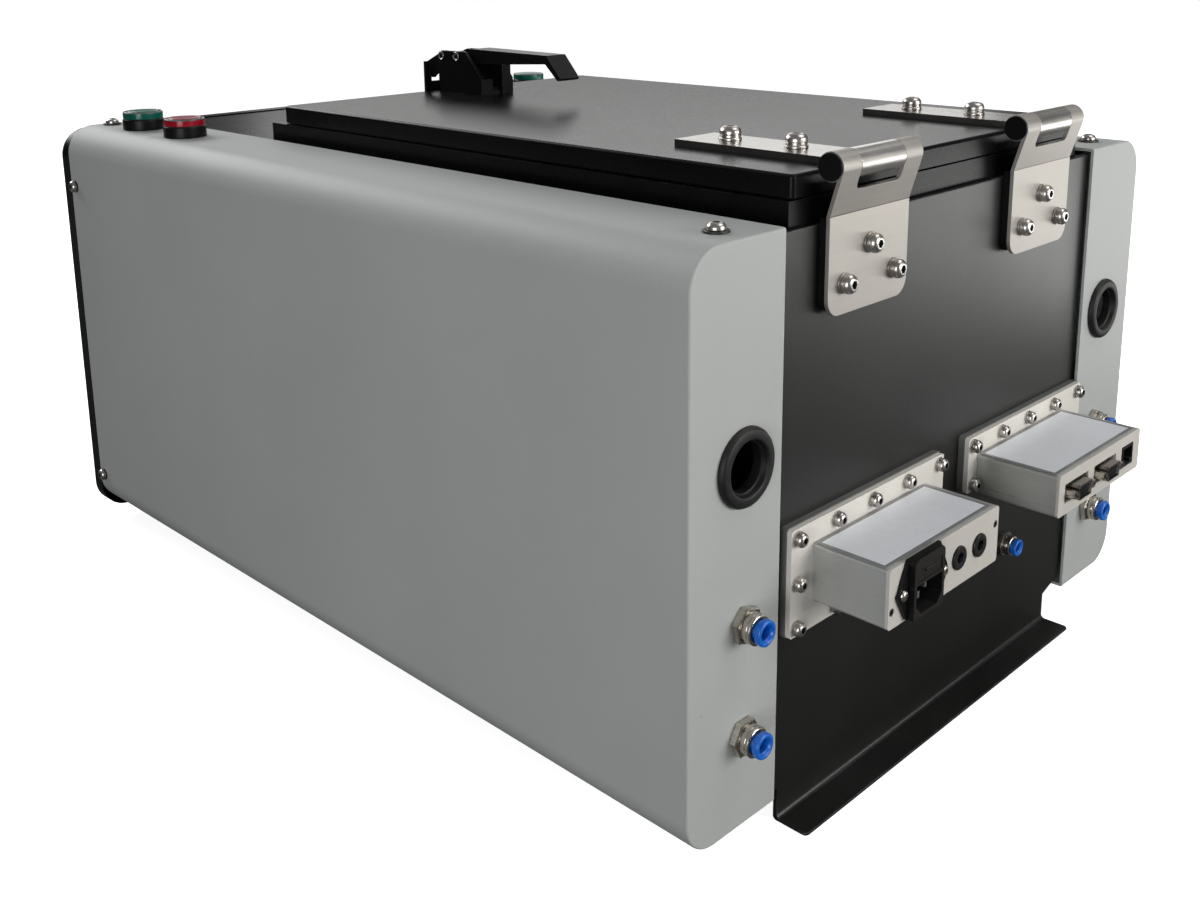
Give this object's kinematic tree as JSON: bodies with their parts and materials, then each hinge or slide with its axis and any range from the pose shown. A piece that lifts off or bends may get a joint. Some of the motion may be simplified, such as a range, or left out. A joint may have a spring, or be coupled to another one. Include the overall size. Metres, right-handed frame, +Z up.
{
  "type": "shielded test chamber",
  "caption": "Bench-top shielded test chamber: lidded box with toggle latch, push buttons, side covers, tube fittings and connector boxes.",
  "frame": {"origin": "centre of the overall box in plan, on the bench plane under the feet", "axes": "+Z up, -Y towards the operator's front panel and latch, +Y towards the hinges and connector boxes, +X towards the cover with two buttons"},
  "size_m": [0.5006, 0.743, 0.402],
  "materials": {
    "black_steel": "fine textured satin black powder coat",
    "grey_cover": "satin light grey powder coat",
    "foam": "open-cell absorber foam",
    "gasket": "knitted wire mesh",
    "bare_steel": "brushed",
    "hinge_steel": "brushed stainless",
    "screw_steel": "bright stainless",
    "black_plastic": "satin black moulding",
    "green_cap": "translucent green",
    "red_cap": "translucent red",
    "black_rubber": "soft black rubber",
    "nickel": "nickel plated",
    "blue_plastic": "semi-gloss blue moulding",
    "white_plate": "satin white",
    "aluminium_box": "fine brushed anodised",
    "label_white": "blank glossy sheet"
  },
  "bodies": {
    "base": {"front_panel": "black_steel", "body_shell": "black_steel", "rear_panel": "black_steel", "front_foot": "black_steel", "chamber": "black_steel", "chamber_foam_floor": "foam", "chamber_foam_front": "foam", "chamber_foam_rear": "foam", "chamber_foam_right": "foam", "chamber_foam_left": "foam", "rim_gasket": "gasket", "right_cover": "grey_cover", "left_cover": "grey_cover", "cover_brackets": "black_steel", "cover_screws": "screw_steel", "hinge_spacers": "black_steel", "rear_leaf_right": "hinge_steel", "rear_leaf_left": "hinge_steel", "hinge_pins": "black_steel", "rear_leaf_screws": "screw_steel", "latch_catch": "bare_steel", "button_bodies": "black_plastic", "button_nuts": "bare_steel", "cable_grommets": "black_rubber", "fitting_bodies": "nickel", "fitting_nuts": "nickel", "power_adapter": "black_steel", "power_plate": "white_plate", "power_housing": "aluminium_box", "power_end_plate": "white_plate", "power_label": "label_white", "mains_inlet": "black_plastic", "low_voltage_jacks": "black_plastic", "data_adapter": "black_steel", "data_plate": "white_plate", "data_housing": "aluminium_box", "data_end_plate": "white_plate", "data_label": "label_white", "dsub_connectors": "nickel", "network_socket": "black_plastic", "box_screws": "screw_steel"},
    "lid": {"lid": "black_steel", "lid_liner": "bare_steel", "lid_foam_pad": "foam", "lid_strap_right": "hinge_steel", "lid_strap_left": "hinge_steel", "strap_screws": "screw_steel", "latch_bracket": "black_steel", "latch_pins": "bare_steel"},
    "latch_lever": {"latch_lever": "black_steel"},
    "latch_claw": {"latch_claw": "black_steel"},
    "start_button_right": {"start_cap_right": "green_cap"},
    "stop_button_right": {"stop_cap_right": "red_cap"},
    "start_button_left": {"start_cap_left": "green_cap"},
    "fuse_drawer": {"fuse_drawer": "black_plastic"},
    "collet_right_upper": {"collet_right_upper": "blue_plastic"},
    "collet_right_lower": {"collet_right_lower": "blue_plastic"},
    "collet_left_upper": {"collet_left_upper": "blue_plastic"},
    "collet_left_lower": {"collet_left_lower": "blue_plastic"},
    "collet_panel": {"collet_panel": "blue_plastic"}
  },
  "joints": [
    {"name": "lid_hinge", "type": "hinge", "parent": "base", "child": "lid", "pos_m": [0, 0.31008, 0.3695], "axis": [-1, 0, 0], "range_deg": [0, 105]},
    {"name": "lever_pivot", "type": "hinge", "parent": "lid", "child": "latch_lever", "pos_m": [0, -0.1395, 0.396], "axis": [1, 0, 0], "range_deg": [0, 100]},
    {"name": "claw_pivot", "type": "hinge", "parent": "lid", "child": "latch_claw", "pos_m": [0, -0.1585, 0.396], "axis": [-1, 0, 0], "range_deg": [0, 20]},
    {"name": "start_press_right", "type": "slide", "parent": "base", "child": "start_button_right", "axis": [0, 0, -1], "range_m": [0, 0.003], "stiffness_N_per_m": 600, "springref_m": -0.002},
    {"name": "stop_press_right", "type": "slide", "parent": "base", "child": "stop_button_right", "axis": [0, 0, -1], "range_m": [0, 0.003], "stiffness_N_per_m": 600, "springref_m": -0.002},
    {"name": "start_press_left", "type": "slide", "parent": "base", "child": "start_button_left", "axis": [0, 0, -1], "range_m": [0, 0.003], "stiffness_N_per_m": 600, "springref_m": -0.002},
    {"name": "fuse_drawer_slide", "type": "slide", "parent": "base", "child": "fuse_drawer", "axis": [0, 1, 0], "range_m": [0, 0.018]},
    {"name": "collet_release_right_upper", "type": "slide", "parent": "base", "child": "collet_right_upper", "axis": [0, -1, 0], "range_m": [0, 0.001], "stiffness_N_per_m": 400, "springref_m": -0.001},
    {"name": "collet_release_right_lower", "type": "slide", "parent": "base", "child": "collet_right_lower", "axis": [0, -1, 0], "range_m": [0, 0.001], "stiffness_N_per_m": 400, "springref_m": -0.001},
    {"name": "collet_release_left_upper", "type": "slide", "parent": "base", "child": "collet_left_upper", "axis": [0, -1, 0], "range_m": [0, 0.001], "stiffness_N_per_m": 400, "springref_m": -0.001},
    {"name": "collet_release_left_lower", "type": "slide", "parent": "base", "child": "collet_left_lower", "axis": [0, -1, 0], "range_m": [0, 0.001], "stiffness_N_per_m": 400, "springref_m": -0.001},
    {"name": "collet_release_panel", "type": "slide", "parent": "base", "child": "collet_panel", "axis": [0, -1, 0], "range_m": [0, 0.001], "stiffness_N_per_m": 400, "springref_m": -0.001}
  ],
  "couplings": [
    {"joint": "claw_pivot", "follows": "lever_pivot", "ratio": 0.2}
  ]
}
